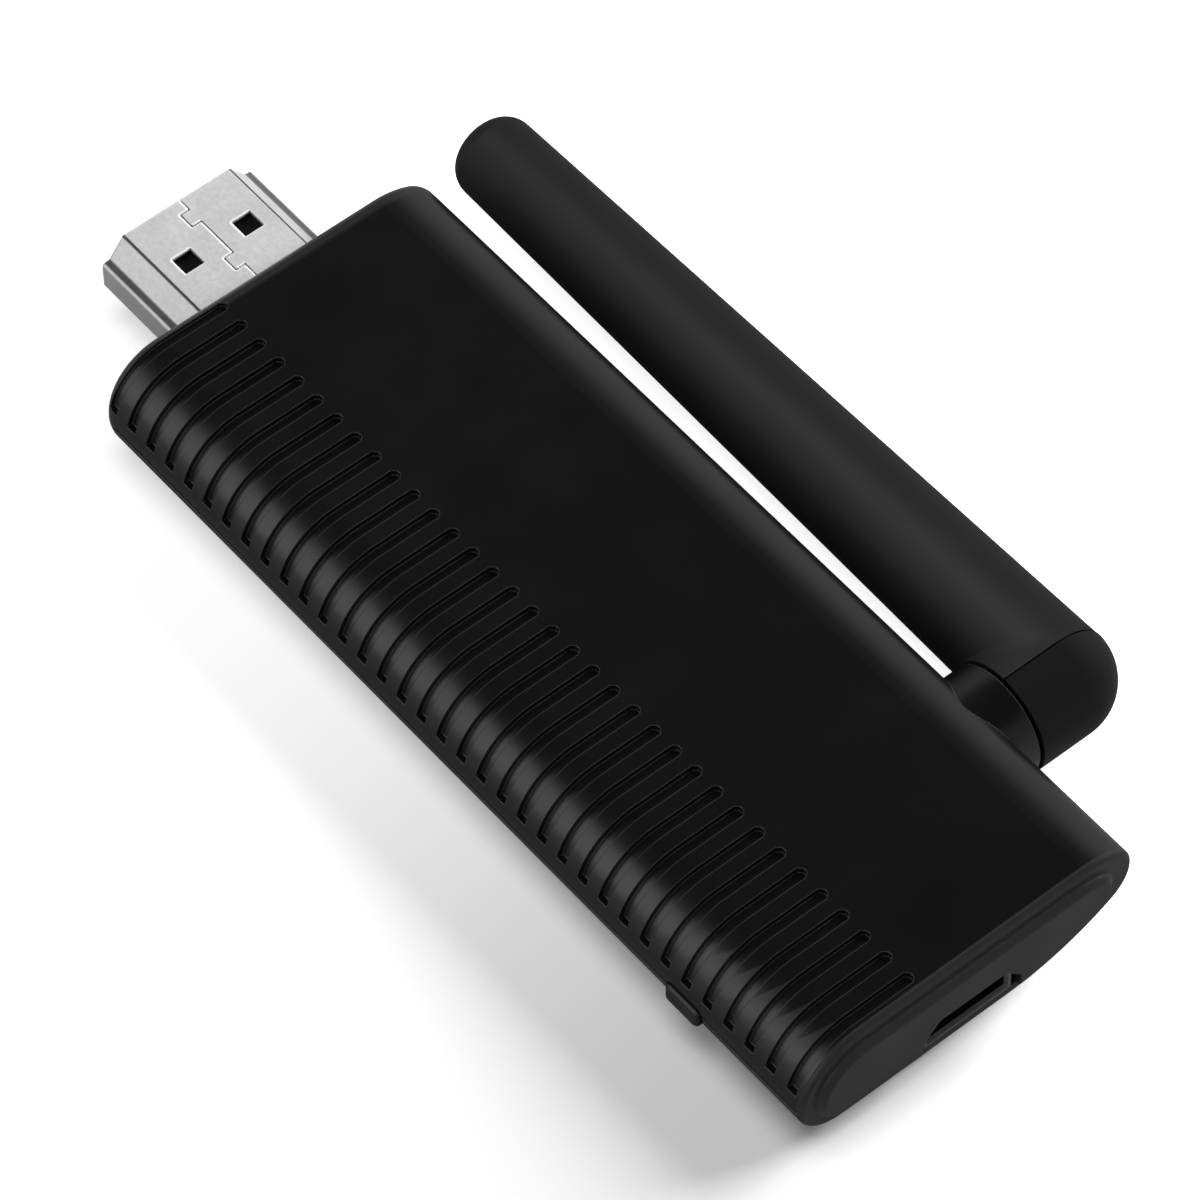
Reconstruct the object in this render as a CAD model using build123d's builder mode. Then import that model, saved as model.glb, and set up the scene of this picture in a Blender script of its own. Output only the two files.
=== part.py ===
from build123d import *
import os
from math import asin, degrees

os.makedirs("parts", exist_ok=True)

# A wireless display dongle lying flat: HDMI plug towards -X, power port towards +X,
# ribbed side and mode button towards -Y, swivelling antenna along the +Y side.
# All sizes in mm. Z = 0 is the surface that the antenna's elbow touches.

# Housing
total_len = 88.0        # plug tip to the end cap's face
plug_out = 9.8          # plug that stands out of the housing
body_h = 9.0            # housing thickness
rib_half = 14.85        # housing centre line to the ribbed side
hinge_half = 15.0       # housing centre line to the antenna side
split_h = 3.7           # joint between the shells above the underside
roll_reach = 4.6        # upper rounding of the antenna side, along Y and Z
roll_h = 3.1
roll_tight = 2.6        # radius of its tighter arc
foot_reach = 11.0       # long lower rounding of the antenna side, along Y
foot_tight = 3.4
side_land = 0.2         # flat band between the two roundings
wall = 1.4
nose_wall = 1.8
nose_round = 1.8        # rounding of the housing's edge round the plug
reveal = 0.3            # groove along the shells' joint on the ribbed side
fit = 0.1               # gap between moulded pieces that slide into each other
seat_fit = 0.02         # gap round pieces that are pushed in and stay
press_fit = 0.01        # gap round metal pressed into its seat

# Cooling grooves
groove_count = 35
groove_pitch = 2.198
groove_w = 0.95
groove_depth = 0.5
groove_first = 1.511    # first groove's centre from the housing's plug end
groove_top = 4.07       # rounded upper end of each groove from the centre line
groove_foot = 4.0       # square lower end below the housing's top face

# End cap
cap_len = 1.1           # cap joint to its face
rim_t = 0.5             # rim's thickness and the rounding of its edge
rim_round = 0.45
rim_in = 1.2            # width of the rim
face_short = 0.8        # the raised face ends this much earlier on the antenna side
face_edge = 0.45
skirt_len = 2.3
skirt_wall = 1.0
port_half = 4.5         # cut-out for the power port, its corners from the board's underside
port_top_half = 3.0
port_low = 2.9
port_shoulder = 1.2
port_high = 0.4
port_round = 0.6

# Antenna and its hinge
hinge_from_end = 16.57  # hinge axis from the end cap's face
knuckle_r = 4.5
knuckle_out = 16.97     # knuckle's end face from the centre line
knuckle_in = 10.2       # its inner end, under the housing's side
knuckle_taper = 3.0     # taper of that end into the housing's underside
bearing_r = 3.1         # bearing that carries on inside the housing
bearing_in = 7.6
bore_r = 2.0
run_fit = 0.05          # radial running clearance of the hub
swivel_gap = 0.3
antenna_off = 22.15     # tube axis from the centre line
elbow_r = 4.6           # hinge stub and the ball-shaped corner
elbow_seam = 0.2        # chamfer of the elbow cover along its joint
tube_base_r = 4.55
tube_tip_r = 3.39
tube_tip = 7.9          # tube tip from the plug tip
tube_round = 2.0
tube_bore_r = 2.1
tube_end_wall = 3.0
spigot_r = 1.6
spigot_len = 2.4
hub_bore_r = 0.7
stud_r = 1.5
stud_len = 1.3
ring_t = 0.45           # friction ring
washer_t = 0.4
washer_r = 2.7
clip_t = 0.3
clip_depth = 0.3
clip_rim = 0.8          # clip's edge outside the stud
clip_mouth = 1.9
lead_r = 0.4
lead_gap = 0.6          # free space round the lead in the stub
rod_r = 0.6             # radiator's rod and the brass sleeve behind it
rod_len = 24.0
rod_gap = 1.0
sleeve_len = 22.0
sleeve_gap = 0.1
lead_depth = 2.0        # wall between the rod and the lead's end
lead_bend = 2.4

# HDMI plug
plug_w = 13.9
plug_h = 4.45
plug_flat = 4.92        # half width of the narrow flat side
plug_slant = 6.31       # half width where the slanted flank ends
plug_ledge = 1.77       # depth of the flank below the narrow side
plug_sheet = 0.3
plug_tail = 5.0         # shell inside the housing
plug_corner = 0.35
window = 1.75           # latch windows
window_x = 4.95
window_y = 2.75
latch_deep = 0.5        # recess of the plastic core under each window
seam_w = 0.14           # seam where the folded sheet's edges meet
seam_y = 0.3
tab_len = 1.4           # two tabs that lock the seam
tab_deep = 0.85
tab_first = 1.2         # first tab behind the plug's tip
tab_pitch = 5.2
slot_w = 11.0
slot_h = 1.9
slot_deep = 8.0
mould_back = 0.9        # plastic core behind the plug's tip
pin_w = 0.32
pin_t = 0.25
pin_pitch = 1.0
pin_bite = 0.12         # how far a contact stands proud in the slot
pin_tail = 1.5
pin_back = 0.5          # contacts behind the plastic core's face
upper_pin_count = 10
lower_pin_count = 9

# Circuit board and what it carries
board_t = 0.8
board_half = 12.4
board_end = 3.7         # board's wide part from the end cap's face
board_tongue = 6.0      # half width of the narrow end between the cap's skirt
board_tongue_len = 1.9
board_corner = 0.8
notch_half = 5.0        # notch for the hinge
notch_in = 5.6
soc = 14.0
soc_t = 1.2
chip_edge = 0.15
soc_in = 21.2           # processor's centre from the board's plug end
spreader_t = 0.6
spreader = (34.0, 15.0)
spreader_round = 1.0
pad_in = 0.5            # thermal pad inside the processor's edge
spreader_off = 3.0      # its centre past the processor's
ram = (8.0, 11.0, 0.9)
ram_off = (14.5, 6.2)   # memory chips past the processor, each side of the centre line
flash = (11.5, 13.0, 1.0)
radio = (12.0, 12.0, 0.8)
radio_off = (6.8, 3.0)  # radio module's centre before the hinge and off the centre line
shield_in = 0.5         # shield can inside the module's edge
shield_t = 1.4
shield_edge = 0.3
shield_sheet = 0.2
xtal = (3.2, 2.5, 0.8)
xtal_off = (10.0, 9.0)  # crystals before the processor, each side of the centre line
coil = (4.0, 4.0, 1.8)
coil_edge = 0.4
coil_off = (11.5, 2.5)  # inductors before the end cap's face, each side of the centre line
cap = (1.6, 0.8, 0.8)
cap_edge = 0.1
cap_rows = ((-10.0, 2.0), (8.5, 3.0))   # capacitor rows from the processor, and their spacing
cap_count = 7
conn = (2.6, 2.6, 1.1)
conn_edge = 0.3
conn_in = 2.4           # connector behind the board's notch
screw_r = 0.7
screw_head_r = 1.4
screw_head_t = 0.7
screw_len = 2.6
boss_r = 1.7
boss_front = (4.2, 9.6)     # boss behind the board's plug end, off the centre line to the ribbed side
boss_back = (11.0, 8.6)     # boss before the hinge, off the centre line to the antenna side

# Mode button
key_from_end = 12.85
key_len = 3.5
key_h = 1.8
key_out = 0.3           # how far it stands proud of the ribbed side
key_travel = 0.25
key_round = 0.5
key_flange = 0.6
key_lip = 0.7
key_seat = 1.5          # flange's outer face in from the ribbed side
plunger_r = 0.7
key_edge = 0.2
switch = (4.6, 3.4, 2.2)

# Power port
port_back = 0.45        # port's lips behind the cap's face
usb_w = 7.5
usb_top_w = 5.6
usb_h = 2.5
usb_slope = 1.0
usb_sheet = 0.25
usb_round = 0.3
usb_len = 5.4
usb_flare = 0.2
tongue_w = 3.7
tongue_t = 0.6
tongue_len = 4.2
tongue_base = 1.0
tongue_round = 0.15
usb_pins = 5
usb_pin = (2.8, 0.32, 0.1)
usb_pitch = 0.65

# Places that follow from the sizes
tip_x = -total_len / 2
end_x = total_len / 2
nose_x = tip_x + plug_out
joint_x = end_x - cap_len
hinge_x = end_x - hinge_from_end
key_x = end_x - key_from_end
axis_y = (rib_half + key_out - antenna_off - elbow_r) / 2
base_z = elbow_r - split_h
top_z = base_z + body_h
split_z = base_z + split_h
plug_z = base_z + body_h / 2
board_z = plug_z - board_t / 2
board_top = board_z + board_t
knuckle_y = axis_y + knuckle_out
stub_y = knuckle_y + swivel_gap
tube_y = axis_y + antenna_off
bearing_y = axis_y + bearing_in
key_z = board_z - switch[2] / 2
key_y = axis_y - rib_half - key_out
seat_y = axis_y - rib_half + key_seat
lip_x = end_x - port_back


def flat_arc(reach, height, tight):
    """Radius and turn of the flatter arc in a rounding made of two tangent arcs."""
    radius = (reach**2 + height**2 - 2 * reach * tight) / (2 * (height - tight))
    return radius, degrees(asin((reach - tight) / (radius - tight)))


def section(x, inset, short=0.0):
    """Housing section at x, drawn in by inset; short draws in the antenna side more."""
    left = axis_y - rib_half
    right = axis_y + hinge_half - short
    foot_flat, foot_turn = flat_arc(foot_reach, body_h - roll_h - side_land, foot_tight)
    roll_flat, roll_turn = flat_arc(roll_reach, roll_h, roll_tight)
    with BuildSketch(Plane.YZ.offset(x)) as sketch:
        with BuildLine():
            foot = JernArc((right - foot_reach, base_z), (1, 0), foot_flat, foot_turn)
            toe = JernArc(foot @ 1, foot % 1, foot_tight, 90 - foot_turn)
            land = Line(toe @ 1, (right, top_z - roll_h))
            shoulder = JernArc(land @ 1, (0, 1), roll_tight, 90 - roll_turn)
            JernArc(shoulder @ 1, shoulder % 1, roll_flat, roll_turn)
            top = Line((right - roll_reach, top_z), (left + body_h - split_h, top_z))
            JernArc(top @ 1, (-1, 0), body_h - split_h, 90)
            JernArc((left, base_z + split_h), (0, -1), split_h, 90)
            Line((left + split_h, base_z), foot @ 0)
        make_face()
        if inset:
            offset(amount=-inset, mode=Mode.REPLACE)
    return sketch.sketch


def plug_section(x, inset):
    """HDMI plug section at x, narrow side up, drawn in by inset."""
    high = plug_z + plug_h / 2
    with BuildSketch(Plane.YZ.offset(x)) as sketch:
        with BuildLine():
            Polyline((axis_y - plug_w / 2, high - plug_h), (axis_y + plug_w / 2, high - plug_h),
                     (axis_y + plug_w / 2, high - plug_ledge), (axis_y + plug_slant, high - plug_ledge),
                     (axis_y + plug_flat, high), (axis_y - plug_flat, high),
                     (axis_y - plug_slant, high - plug_ledge), (axis_y - plug_w / 2, high - plug_ledge),
                     close=True)
        make_face()
        if inset:
            offset(amount=-inset, kind=Kind.INTERSECTION, mode=Mode.REPLACE)
    return sketch.sketch


def usb_section(x, inset):
    """Power port section at x, narrow side up against the board, drawn in by inset."""
    with BuildSketch(Plane.YZ.offset(x)) as sketch:
        with BuildLine():
            Polyline((axis_y - usb_top_w / 2, board_z), (axis_y + usb_top_w / 2, board_z),
                     (axis_y + usb_w / 2, board_z - usb_slope), (axis_y + usb_w / 2, board_z - usb_h),
                     (axis_y - usb_w / 2, board_z - usb_h), (axis_y - usb_w / 2, board_z - usb_slope),
                     close=True)
        make_face()
        if inset:
            offset(amount=-inset, kind=Kind.INTERSECTION, mode=Mode.REPLACE)
    return sketch.sketch


def hinge_disc(y, r):
    """Disc square to the hinge axis at this Y."""
    plane = Plane(origin=(hinge_x, y, split_z), x_dir=(1, 0, 0), z_dir=(0, 1, 0))
    with BuildSketch(plane) as sketch:
        Circle(r)
    return sketch.sketch


def key_outline(y, grow):
    """Mode button's outline at this Y, grown all round."""
    plane = Plane(origin=(key_x, y, key_z), x_dir=(1, 0, 0), z_dir=(0, 1, 0))
    with BuildSketch(plane) as sketch:
        RectangleRounded(key_len + 2 * grow, key_h + 2 * grow, key_round + grow)
    return sketch.sketch


# Hinge knuckle, tapered where it comes out of the housing's underside
with BuildPart() as knuckle:
    extrude(hinge_disc(axis_y + knuckle_in, knuckle_r), amount=knuckle_out - knuckle_in)
    chamfer(knuckle.edges().group_by(Axis.Y)[0], knuckle_taper)


def shell_half(keep):
    """Hollow housing with the hinge's knuckle and bearing, cut at the joint height."""
    with BuildPart() as half:
        extrude(section(nose_x, 0), amount=joint_x - nose_x)
        fillet(half.faces().sort_by(Axis.X)[0].edges(), nose_round)
        extrude(section(nose_x + nose_wall, wall), amount=joint_x - nose_x - nose_wall,
                mode=Mode.SUBTRACT)
        add(knuckle.part)
        extrude(hinge_disc(bearing_y, bearing_r), amount=knuckle_in + knuckle_taper - bearing_in)
        extrude(hinge_disc(bearing_y - stud_len - fit, washer_r + 2 * fit), amount=stud_len + fit,
                mode=Mode.SUBTRACT)
        extrude(hinge_disc(bearing_y, bore_r), amount=knuckle_out - bearing_in, mode=Mode.SUBTRACT)
        extrude(plug_section(nose_x, -fit), amount=nose_wall, mode=Mode.SUBTRACT)
        extrude(key_outline(key_y, fit), amount=seat_y - key_y, mode=Mode.SUBTRACT)
        extrude(key_outline(seat_y, key_lip + 2 * fit), amount=wall + key_flange, mode=Mode.SUBTRACT)
        split(bisect_by=Plane.XY.offset(split_z), keep=keep)
    return half.part


board_x = nose_x + plug_tail
boss_places = [(board_x + boss_front[0], axis_y - boss_front[1]),
               (hinge_x - boss_back[0], axis_y + boss_back[1])]

# One cooling groove, the cutter that follows the outer face from the top over the side
with BuildPart() as groove:
    extrude(section(-groove_w / 2, -2.0), amount=groove_w)
    extrude(section(-groove_w / 2, groove_depth), amount=groove_w, mode=Mode.SUBTRACT)
    with BuildSketch(Plane.XY.offset(top_z - groove_foot)) as groove_plan:
        with Locations((0, axis_y - groove_top)):
            Rectangle(groove_w, rib_half, align=(Align.CENTER, Align.MAX))
        chamfer(groove_plan.vertices().group_by(Axis.Y)[-1], groove_w / 3)
    extrude(amount=groove_foot + 1.0, mode=Mode.INTERSECT)

with BuildPart() as top_shell:
    add(shell_half(Keep.TOP))
    with Locations(*[(nose_x + groove_first + i * groove_pitch, 0, 0) for i in range(groove_count)]):
        add(groove.part, mode=Mode.SUBTRACT)
top_shell.part.label = "top_shell"
export_step(top_shell.part, "parts/top_shell.step")

with BuildPart() as bottom_shell:
    add(shell_half(Keep.BOTTOM))
    with Locations((nose_x + nose_round, axis_y - rib_half, split_z)):
        Box(joint_x - nose_x - nose_round, 2 * reveal, reveal,
            align=(Align.MIN, Align.CENTER, Align.MAX), mode=Mode.SUBTRACT)
    with BuildSketch(Plane.XY.offset(board_z)):
        with Locations(*boss_places):
            Circle(boss_r)
    extrude(until=Until.NEXT, dir=(0, 0, -1))
    with BuildSketch(Plane.XY.offset(board_z)):
        with Locations(*boss_places):
            Circle(screw_r)
    extrude(amount=-(screw_len - board_t), mode=Mode.SUBTRACT)
bottom_shell.part.label = "bottom_shell"
export_step(bottom_shell.part, "parts/bottom_shell.step")

# Raised, softly rounded face of the end cap
with BuildPart() as raised_face:
    extrude(section(joint_x, rim_in, face_short), amount=cap_len)
    chamfer(raised_face.faces().sort_by(Axis.X)[-1].edges(), face_edge)

# End cap: rounded rim, raised face, skirt inside the shells, cut-out for the power port
with BuildPart() as end_cap:
    extrude(section(joint_x, 0), amount=rim_t)
    fillet(end_cap.faces().sort_by(Axis.X)[-1].edges(), rim_round)
    add(raised_face.part)
    extrude(section(joint_x - skirt_len, wall + fit), amount=skirt_len)
    extrude(section(joint_x - skirt_len, wall + fit + skirt_wall), amount=skirt_len,
            mode=Mode.SUBTRACT)
    with Locations((joint_x - skirt_len, axis_y, base_z)):
        Box(skirt_len, 2 * port_half, board_z - base_z, align=(Align.MIN, Align.CENTER, Align.MIN),
            mode=Mode.SUBTRACT)
    with BuildSketch(Plane.YZ.offset(joint_x - fit)):
        with BuildLine():
            Polyline((axis_y - port_half, board_z - port_low), (axis_y + port_half, board_z - port_low),
                     (axis_y + port_half, board_z - port_shoulder),
                     (axis_y + port_top_half, board_z + port_high),
                     (axis_y - port_top_half, board_z + port_high),
                     (axis_y - port_half, board_z - port_shoulder), close=True)
        make_face()
        fillet(vertices().group_by(Axis.Y)[-1] + vertices().group_by(Axis.Y)[-2], port_round)
    extrude(amount=cap_len + 2 * fit, mode=Mode.SUBTRACT)
end_cap.part.label = "end_cap"
export_step(end_cap.part, "parts/end_cap.step")

# Mode button key: the rod through the side wall and the flange that keeps it in
with BuildPart() as mode_button:
    extrude(key_outline(key_y, 0), amount=seat_y + fit - key_y)
    chamfer(mode_button.faces().sort_by(Axis.Y)[0].edges(), key_edge)
    extrude(key_outline(seat_y + fit, key_lip), amount=key_flange)
mode_button.part.label = "mode_button"
export_step(mode_button.part, "parts/mode_button.step")

# Side-push switch: body on the board's underside, plunger that the key pushes
switch_y = seat_y + fit + key_flange
plunger_stroke = key_travel + fit
with BuildPart() as switch_body:
    with Locations((key_x, switch_y + plunger_stroke, board_z)):
        Box(*switch, align=(Align.CENTER, Align.MIN, Align.MAX))
    with BuildSketch(Plane(origin=(key_x, switch_y + plunger_stroke, key_z),
                           x_dir=(1, 0, 0), z_dir=(0, 1, 0))):
        Circle(plunger_r + run_fit)
    extrude(amount=switch[1] / 2 + plunger_stroke, mode=Mode.SUBTRACT)
switch_body.part.label = "switch_body"
export_step(switch_body.part, "parts/switch_body.step")

with BuildPart() as switch_plunger:
    with BuildSketch(Plane(origin=(key_x, switch_y, key_z), x_dir=(1, 0, 0), z_dir=(0, 1, 0))):
        Circle(plunger_r)
    extrude(amount=switch[1] / 2)
    chamfer(switch_plunger.faces().sort_by(Axis.Y)[0].edges(), plunger_r / 3)
switch_plunger.part.label = "switch_plunger"
export_step(switch_plunger.part, "parts/switch_plunger.step")

# HDMI plug: folded shell with latch windows and a seam along its narrow side
with BuildPart() as plug_shell:
    extrude(plug_section(tip_x, 0), amount=plug_out + plug_tail)
    fillet(plug_shell.edges().filter_by(Axis.X), plug_corner)
    extrude(plug_section(tip_x, plug_sheet), amount=plug_out + plug_tail, mode=Mode.SUBTRACT)
    with BuildSketch(Plane.XY.offset(plug_z)):
        with Locations((tip_x + window_x, axis_y - window_y), (tip_x + window_x, axis_y + window_y)):
            Rectangle(window, window)
    extrude(amount=plug_h, both=True, mode=Mode.SUBTRACT)
    seam = [(tip_x, axis_y + seam_y)]
    for x in (tip_x + tab_first, tip_x + tab_first + tab_pitch):
        seam += [(x, axis_y + seam_y), (x, axis_y + seam_y - tab_deep),
                 (x + tab_len, axis_y + seam_y - tab_deep), (x + tab_len, axis_y + seam_y)]
    seam.append((nose_x + plug_tail, axis_y + seam_y))
    with BuildSketch(Plane.XY.offset(plug_z)):
        with BuildLine():
            Polyline(*seam)
        trace(line_width=seam_w)
    extrude(amount=plug_h, mode=Mode.SUBTRACT)
plug_shell.part.label = "plug_shell"
export_step(plug_shell.part, "parts/plug_shell.step")

pin_rows = [(1, plug_z + slot_h / 2, upper_pin_count), (-1, plug_z - slot_h / 2, lower_pin_count)]


def pin_sketch(x, side, z, count, grow):
    """Ends of one row of contacts, half sunk in the slot's wall."""
    with BuildSketch(Plane.YZ.offset(x)) as sketch:
        with Locations((axis_y, z - side * pin_bite)):
            with GridLocations(pin_pitch, 1, count, 1):
                Rectangle(pin_w + 2 * grow, pin_t,
                          align=(Align.CENTER, Align.MIN if side > 0 else Align.MAX))
    return sketch.sketch


# Plastic core with the slot that takes the socket's tongue
core_x = tip_x + mould_back
core_len = plug_out + plug_tail - mould_back
with BuildPart() as plug_core:
    extrude(plug_section(core_x, plug_sheet + seat_fit), amount=core_len)
    with BuildSketch(Plane.YZ.offset(core_x)):
        with Locations((axis_y, plug_z)):
            Rectangle(slot_w, slot_h)
    extrude(amount=slot_deep, mode=Mode.SUBTRACT)
    with Locations(*[(tip_x + window_x, axis_y + side * window_y, plug_z + plug_h / 2 - plug_sheet)
                     for side in (-1, 1)]):
        Box(window, window, 2 * latch_deep, mode=Mode.SUBTRACT)
    for side, z, count in pin_rows:
        extrude(pin_sketch(core_x + pin_back, side, z, count, press_fit), amount=core_len, mode=Mode.SUBTRACT)
plug_core.part.label = "plug_core"
export_step(plug_core.part, "parts/plug_core.step")

with BuildPart() as plug_contacts:
    for side, z, count in pin_rows:
        extrude(pin_sketch(core_x + pin_back, side, z, count, 0), amount=core_len - pin_back + pin_tail)
plug_contacts.part.label = "plug_contacts"
export_step(plug_contacts.part, "parts/plug_contacts.step")

# Main board, notched for the hinge, with a narrow end between the cap's skirt
with BuildPart() as main_board:
    with BuildSketch(Plane.XY.offset(board_z)):
        with Locations((board_x, axis_y)):
            Rectangle(end_x - board_end - board_x, 2 * board_half, align=(Align.MIN, Align.CENTER))
        with Locations((end_x - board_end, axis_y)):
            Rectangle(2 * board_tongue_len, 2 * board_tongue, align=(Align.CENTER, Align.CENTER))
        with Locations((hinge_x, axis_y + notch_in)):
            Rectangle(2 * notch_half, hinge_half, align=(Align.CENTER, Align.MIN), mode=Mode.SUBTRACT)
        chamfer(vertices(), board_corner)
        with Locations(*boss_places):
            Circle(screw_r + fit, mode=Mode.SUBTRACT)
    extrude(amount=board_t)
main_board.part.label = "main_board"
export_step(main_board.part, "parts/main_board.step")

with BuildPart() as board_screws:
    with Locations(*[(x, y, board_top) for x, y in boss_places]):
        Cylinder(screw_head_r, screw_head_t, align=(Align.CENTER, Align.CENTER, Align.MIN))
        Cylinder(screw_r, screw_len, align=(Align.CENTER, Align.CENTER, Align.MAX))
board_screws.part.label = "board_screws"
export_step(board_screws.part, "parts/board_screws.step")


def chip(name, places, size, z, side, edge=chip_edge):
    """Flat parts of one kind on the board's top (side 1) or underside (side -1)."""
    with BuildPart() as part:
        with Locations(*[(x, axis_y + y, z) for x, y in places]):
            Box(*size, align=(Align.CENTER, Align.CENTER, Align.MIN if side > 0 else Align.MAX))
        chamfer(part.edges().filter_by(Axis.Z), edge)
    part.part.label = name
    export_step(part.part, "parts/" + name + ".step")


soc_x = board_x + soc_in
radio_x = hinge_x - radio_off[0]
radio_y = -radio_off[1]
coil_x = end_x - coil_off[0]
chip("processor", [(soc_x, 0.0)], (soc, soc, soc_t), board_top, 1)
chip("memory_chips", [(soc_x + ram_off[0], side * ram_off[1]) for side in (-1, 1)], ram, board_top, 1)
chip("flash_chip", [(soc_x, 0.0)], flash, board_z, -1)
chip("radio_module", [(radio_x, radio_y)], radio, board_top, 1)
chip("crystals", [(soc_x - xtal_off[0], side * xtal_off[1]) for side in (-1, 1)], xtal, board_top, 1)
chip("power_coils", [(coil_x, side * coil_off[1]) for side in (-1, 1)], coil, board_top, 1, coil_edge)
chip("capacitors", [(soc_x + x, spacing * (i - (cap_count - 1) / 2))
                    for x, spacing in cap_rows for i in range(cap_count)], cap, board_top, 1, cap_edge)

# Shield can over the radio module's chips
with BuildPart() as radio_shield:
    with Locations((radio_x, axis_y + radio_y, board_top + radio[2])):
        Box(radio[0] - 2 * shield_in, radio[1] - 2 * shield_in, shield_t,
            align=(Align.CENTER, Align.CENTER, Align.MIN))
        chamfer(radio_shield.edges().filter_by(Axis.Z) + radio_shield.edges().group_by(Axis.Z)[-1], shield_edge)
        offset(amount=-shield_sheet, openings=radio_shield.faces().sort_by(Axis.Z)[0])
radio_shield.part.label = "radio_shield"
export_step(radio_shield.part, "parts/radio_shield.step")

# Heat spreader under the top shell and the pad between it and the processor
with BuildPart() as heat_spreader:
    with Locations((soc_x + spreader_off, axis_y, top_z - wall)):
        Box(spreader[0], spreader[1], spreader_t, align=(Align.CENTER, Align.CENTER, Align.MAX))
    fillet(heat_spreader.edges().filter_by(Axis.Z), spreader_round)
heat_spreader.part.label = "heat_spreader"
export_step(heat_spreader.part, "parts/heat_spreader.step")

with BuildPart() as thermal_pad:
    with Locations((soc_x, axis_y, board_top + soc_t)):
        Box(soc - 2 * pad_in, soc - 2 * pad_in, top_z - wall - spreader_t - board_top - soc_t,
            align=(Align.CENTER, Align.CENTER, Align.MIN))
thermal_pad.part.label = "thermal_pad"
export_step(thermal_pad.part, "parts/thermal_pad.step")

# Power port: folded shell with flared lips, tongue and contacts
port_back_x = lip_x - usb_len
with BuildPart() as port_shell:
    extrude(usb_section(port_back_x, 0), amount=usb_len)
    fillet(port_shell.edges().filter_by(Axis.X), usb_round)
    extrude(usb_section(port_back_x + usb_sheet, usb_sheet), amount=usb_len, mode=Mode.SUBTRACT)
    add(usb_section(lip_x - usb_sheet, 0))
    add(usb_section(lip_x, -usb_flare))
    loft()
    add(usb_section(lip_x - usb_sheet, usb_sheet))
    add(usb_section(lip_x, 0))
    loft(mode=Mode.SUBTRACT)
port_shell.part.label = "port_shell"
export_step(port_shell.part, "parts/port_shell.step")

port_mid = board_z - usb_h / 2
with BuildPart() as port_tongue:
    extrude(usb_section(port_back_x + usb_sheet, usb_sheet + seat_fit), amount=tongue_base)
    with Locations((port_back_x + usb_sheet, axis_y, port_mid)):
        Box(tongue_len, tongue_w, tongue_t, align=(Align.MIN, Align.CENTER, Align.CENTER))
    fillet(port_tongue.faces().sort_by(Axis.X)[-1].edges(), tongue_round)
port_tongue.part.label = "port_tongue"
export_step(port_tongue.part, "parts/port_tongue.step")

with BuildPart() as port_contacts:
    with Locations((port_back_x + usb_sheet + tongue_base, axis_y, port_mid - tongue_t / 2)):
        with GridLocations(usb_pin[0], usb_pitch, 1, usb_pins):
            Box(*usb_pin, align=(Align.MIN, Align.CENTER, Align.MAX))
port_contacts.part.label = "port_contacts"
export_step(port_contacts.part, "parts/port_contacts.step")

# Antenna hub: turns in the bearing, carries the antenna, lets the lead through
hub_r = bore_r - run_fit
shoulder_y = bearing_y - ring_t - run_fit
with BuildPart() as pivot_hub:
    extrude(hinge_disc(shoulder_y, hub_r), amount=stub_y - shoulder_y)
    extrude(hinge_disc(stub_y, spigot_r), amount=spigot_len)
    extrude(hinge_disc(shoulder_y - stud_len, stud_r), amount=stud_len)
    extrude(hinge_disc(shoulder_y - washer_t - clip_t, stud_r), amount=clip_t, mode=Mode.SUBTRACT)
    extrude(hinge_disc(shoulder_y - washer_t - clip_t, stud_r - clip_depth), amount=clip_t)
    extrude(hinge_disc(shoulder_y - stud_len, hub_bore_r),
            amount=stub_y + spigot_len - shoulder_y + stud_len, mode=Mode.SUBTRACT)
pivot_hub.part.label = "pivot_hub"
export_step(pivot_hub.part, "parts/pivot_hub.step")

with BuildPart() as friction_ring:
    extrude(hinge_disc(bearing_y - ring_t, washer_r), amount=ring_t)
    extrude(hinge_disc(bearing_y - ring_t, bore_r), amount=ring_t, mode=Mode.SUBTRACT)
friction_ring.part.label = "friction_ring"
export_step(friction_ring.part, "parts/friction_ring.step")

with BuildPart() as hub_washer:
    extrude(hinge_disc(shoulder_y - washer_t, washer_r), amount=washer_t)
    extrude(hinge_disc(shoulder_y - washer_t, stud_r + seat_fit), amount=washer_t, mode=Mode.SUBTRACT)
hub_washer.part.label = "hub_washer"
export_step(hub_washer.part, "parts/hub_washer.step")

with BuildPart() as hub_clip:
    extrude(hinge_disc(shoulder_y - washer_t - clip_t, stud_r + clip_rim), amount=clip_t)
    extrude(hinge_disc(shoulder_y - washer_t - clip_t, stud_r - clip_depth), amount=clip_t,
            mode=Mode.SUBTRACT)
    with Locations((hinge_x, shoulder_y - washer_t - clip_t, split_z)):
        Box(clip_mouth, clip_t, 2 * (stud_r + clip_rim),
            align=(Align.CENTER, Align.MIN, Align.MIN), mode=Mode.SUBTRACT)
hub_clip.part.label = "hub_clip"
export_step(hub_clip.part, "parts/hub_clip.step")


def hinge_bores():
    """Holes for the hub's spigot and the lead, half in each of the two mouldings."""
    extrude(hinge_disc(stub_y, spigot_r + seat_fit), amount=spigot_len, mode=Mode.SUBTRACT)
    extrude(hinge_disc(stub_y, lead_r + lead_gap), amount=tube_y - stub_y, mode=Mode.SUBTRACT)


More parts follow.
